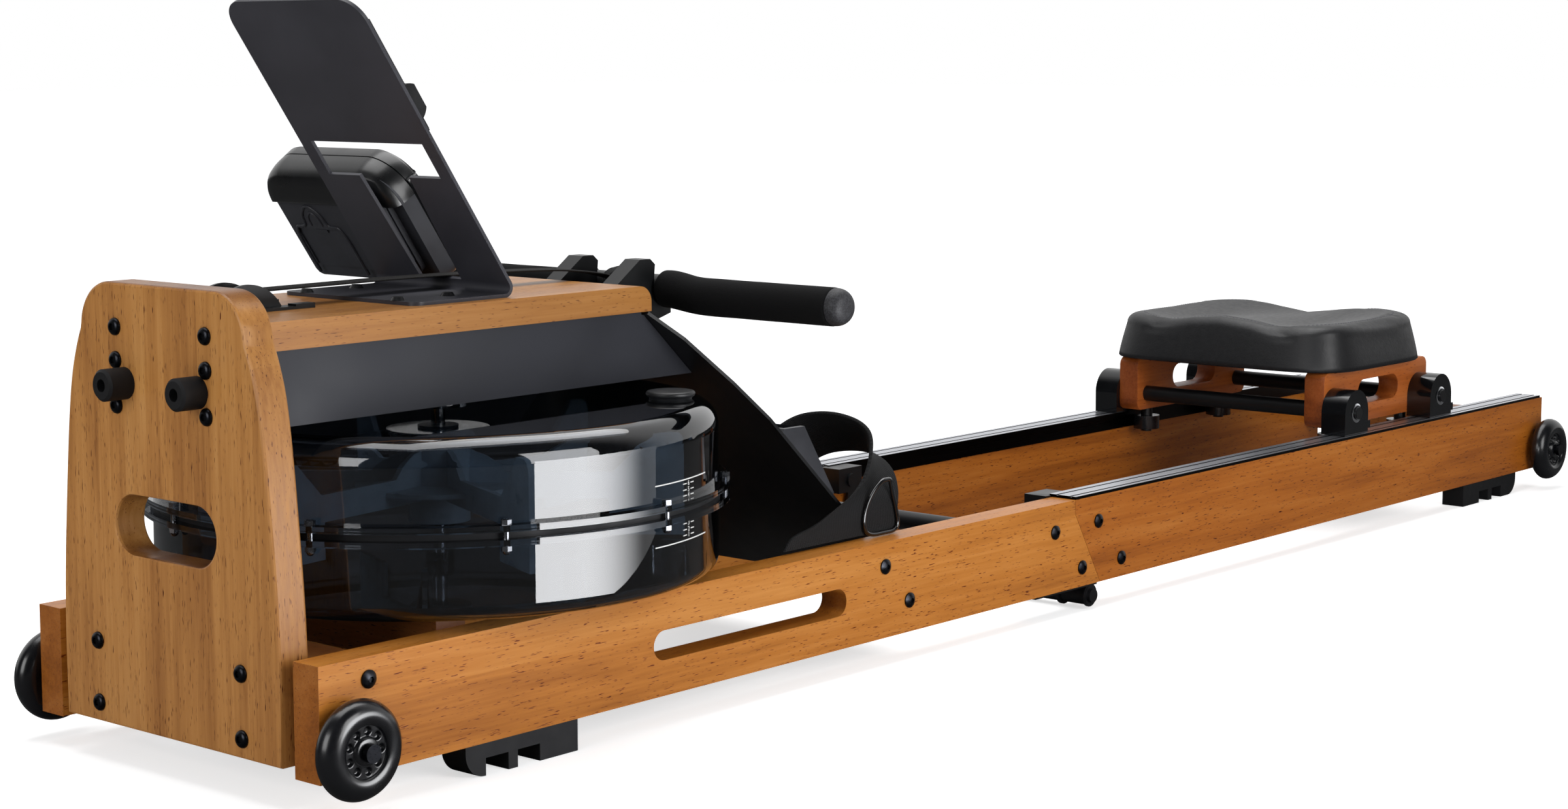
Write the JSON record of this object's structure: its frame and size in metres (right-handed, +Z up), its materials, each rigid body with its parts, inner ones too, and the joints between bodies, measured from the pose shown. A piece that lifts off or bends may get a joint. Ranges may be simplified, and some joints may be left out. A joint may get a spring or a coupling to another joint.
{
  "type": "rowing machine",
  "caption": "Folding water rowing machine with wooden rails, clear water tank and impeller, rolling seat, foot straps, strap-pulled handle and tablet holder.",
  "frame": {"origin": "centre of the bounding box at the floor, under the middle of the machine's length", "axes": "+X from the tank end towards the rear, +Y to the rower's right, +Z up"},
  "size_m": [2.0445, 0.508, 0.5967],
  "materials": {
    "honey_wood": "satin lacquer",
    "dark_wood": "satin lacquer",
    "black_steel": "satin powder coat",
    "grey_steel": "satin powder coat",
    "black_rubber": "matt",
    "black_plastic": "matt moulded",
    "grey_plastic": "matt moulded",
    "gloss_black": "gloss moulded",
    "smoky_clear": "clear gloss",
    "blue_black": "gloss moulded",
    "webbing": "woven",
    "foam": "matt foam",
    "pad_cover": "grained",
    "alloy": "brushed anodised",
    "bright_steel": "polished",
    "black_bolt": "black oxide",
    "screen": "gloss",
    "roller_plastic": "smooth"
  },
  "bodies": {
    "front_frame": {"end_plate": "honey_wood", "front_rail_left": "honey_wood", "front_rail_right": "honey_wood", "tank_bearers": "dark_wood", "top_board": "honey_wood", "board_skirt": "grey_steel", "foot_plate": "black_steel", "footrests": "grey_plastic", "foot_straps": "webbing", "strap_rings": "black_steel", "spreader_tube": "black_steel", "hinge_front": "black_steel", "latch_blocks": "black_plastic", "front_feet": "black_rubber", "bumpers": "black_rubber", "tablet_plate": "black_steel", "tablet_clips": "black_plastic", "monitor_back": "grey_plastic", "monitor_front": "black_plastic", "monitor_screen": "screen", "handle_hooks": "black_plastic", "pulley_guards": "black_plastic", "pull_strap": "webbing", "front_bolts": "black_bolt", "tank_lower_shell": "smoky_clear", "tank_upper_shell": "smoky_clear", "tank_gasket": "black_rubber", "tank_bolts": "bright_steel"},
    "monitor_battery_cover": {"battery_cover": "grey_plastic"},
    "tank_cap": {"fill_cap": "black_plastic"},
    "impeller_unit": {"impeller": "blue_black", "impeller_shaft": "bright_steel"},
    "spool": {"strap_spool": "gloss_black"},
    "pulley": {"front_pulley": "gloss_black"},
    "rear_frame": {"rear_rail_left": "honey_wood", "rear_rail_right": "honey_wood", "tracks": "alloy", "hinge_rear": "black_steel", "rear_cross_bar": "dark_wood", "rear_feet": "black_rubber", "rear_bolts": "black_bolt"},
    "wheel_front_left": {"front_wheel_left": "gloss_black"},
    "wheel_front_right": {"front_wheel_right": "gloss_black"},
    "wheel_rear_left": {"rear_wheel_left": "gloss_black"},
    "wheel_rear_right": {"rear_wheel_right": "gloss_black"},
    "seat_carriage": {"seat_pad": "pad_cover", "seat_blocks": "honey_wood", "seat_tubes": "black_steel", "roller_covers": "gloss_black"},
    "roller_fl": {"load_roller_fl": "roller_plastic"},
    "roller_fr": {"load_roller_fr": "roller_plastic"},
    "roller_rl": {"load_roller_rl": "roller_plastic"},
    "roller_rr": {"load_roller_rr": "roller_plastic"},
    "guide_fl": {"guide_roller_fl": "gloss_black"},
    "guide_fr": {"guide_roller_fr": "gloss_black"},
    "guide_rl": {"guide_roller_rl": "gloss_black"},
    "guide_rr": {"guide_roller_rr": "gloss_black"},
    "handle": {"handle_bar": "black_steel", "handle_grips": "foam", "handle_sleeve": "webbing"}
  },
  "joints": [
    {"name": "fold", "type": "hinge", "parent": "front_frame", "child": "rear_frame", "pos_m": [-0.00975, 0, 0.014], "axis": [0, 1, 0], "range_deg": [0, 160]},
    {"name": "seat_slide", "type": "slide", "parent": "rear_frame", "child": "seat_carriage", "axis": [1, 0, 0], "range_m": [-0.5, 0.21]},
    {"name": "load_roller_fl_spin", "type": "hinge", "parent": "seat_carriage", "child": "roller_fl", "pos_m": [0.52625, -0.1542, 0.1415], "axis": [0, 1, 0], "range_deg": [-1190, 505]},
    {"name": "load_roller_fr_spin", "type": "hinge", "parent": "seat_carriage", "child": "roller_fr", "pos_m": [0.52625, 0.1542, 0.1415], "axis": [0, 1, 0], "range_deg": [-1190, 505]},
    {"name": "load_roller_rl_spin", "type": "hinge", "parent": "seat_carriage", "child": "roller_rl", "pos_m": [0.72925, -0.1542, 0.1415], "axis": [0, 1, 0], "range_deg": [-1190, 505]},
    {"name": "load_roller_rr_spin", "type": "hinge", "parent": "seat_carriage", "child": "roller_rr", "pos_m": [0.72925, 0.1542, 0.1415], "axis": [0, 1, 0], "range_deg": [-1190, 505]},
    {"name": "guide_roller_fl_spin", "type": "hinge", "parent": "seat_carriage", "child": "guide_fl", "pos_m": [0.54575, -0.126, 0.104], "axis": [0, 0, 1], "range_deg": [-785, 1855]},
    {"name": "guide_roller_fr_spin", "type": "hinge", "parent": "seat_carriage", "child": "guide_fr", "pos_m": [0.54575, 0.126, 0.104], "axis": [0, 0, 1], "range_deg": [-1855, 785]},
    {"name": "guide_roller_rl_spin", "type": "hinge", "parent": "seat_carriage", "child": "guide_rl", "pos_m": [0.70975, -0.126, 0.104], "axis": [0, 0, 1], "range_deg": [-785, 1855]},
    {"name": "guide_roller_rr_spin", "type": "hinge", "parent": "seat_carriage", "child": "guide_rr", "pos_m": [0.70975, 0.126, 0.104], "axis": [0, 0, 1], "range_deg": [-1855, 785]},
    {"name": "front_left_wheel_spin", "type": "hinge", "parent": "front_frame", "child": "wheel_front_left", "pos_m": [-0.97275, -0.188, 0.0505], "axis": [0, 1, 0], "continuous": true},
    {"name": "front_right_wheel_spin", "type": "hinge", "parent": "front_frame", "child": "wheel_front_right", "pos_m": [-0.97275, 0.188, 0.0505], "axis": [0, 1, 0], "continuous": true},
    {"name": "rear_left_wheel_spin", "type": "hinge", "parent": "rear_frame", "child": "wheel_rear_left", "pos_m": [0.98425, -0.188, 0.0505], "axis": [0, 1, 0], "continuous": true},
    {"name": "rear_right_wheel_spin", "type": "hinge", "parent": "rear_frame", "child": "wheel_rear_right", "pos_m": [0.98425, 0.188, 0.0505], "axis": [0, 1, 0], "continuous": true},
    {"name": "handle_pull", "type": "slide", "parent": "front_frame", "child": "handle", "axis": [1, 0, 0], "range_m": [0, 1]},
    {"name": "front_pulley_spin", "type": "hinge", "parent": "front_frame", "child": "pulley", "pos_m": [-0.92875, 0, 0.3397], "axis": [0, 1, 0], "range_deg": [-10, 1900]},
    {"name": "spool_spin", "type": "hinge", "parent": "front_frame", "child": "spool", "pos_m": [-0.72075, 0, 0.302], "axis": [0, 0, 1], "range_deg": [-10, 1560]},
    {"name": "impeller_spin", "type": "hinge", "parent": "front_frame", "child": "impeller_unit", "pos_m": [-0.72075, 0, 0.196], "axis": [0, 0, 1], "continuous": true},
    {"name": "fill_cap_lift", "type": "slide", "parent": "front_frame", "child": "tank_cap", "axis": [0, 0, 1], "range_m": [0, 0.02]},
    {"name": "battery_cover_slide", "type": "slide", "parent": "front_frame", "child": "monitor_battery_cover", "axis": [-0.8211, 0, -0.5707], "range_m": [0, 0.012]}
  ],
  "couplings": [
    {"joint": "load_roller_fl_spin", "follows": "seat_slide", "rad_per_m": 41.322},
    {"joint": "load_roller_fr_spin", "follows": "seat_slide", "rad_per_m": 41.322},
    {"joint": "load_roller_rl_spin", "follows": "seat_slide", "rad_per_m": 41.322},
    {"joint": "load_roller_rr_spin", "follows": "seat_slide", "rad_per_m": 41.322},
    {"joint": "guide_roller_fl_spin", "follows": "seat_slide", "rad_per_m": -64.516},
    {"joint": "guide_roller_fr_spin", "follows": "seat_slide", "rad_per_m": 64.516},
    {"joint": "guide_roller_rl_spin", "follows": "seat_slide", "rad_per_m": -64.516},
    {"joint": "guide_roller_rr_spin", "follows": "seat_slide", "rad_per_m": 64.516},
    {"joint": "front_pulley_spin", "follows": "handle_pull", "rad_per_m": 33.003},
    {"joint": "spool_spin", "follows": "handle_pull", "rad_per_m": 27.027}
  ]
}
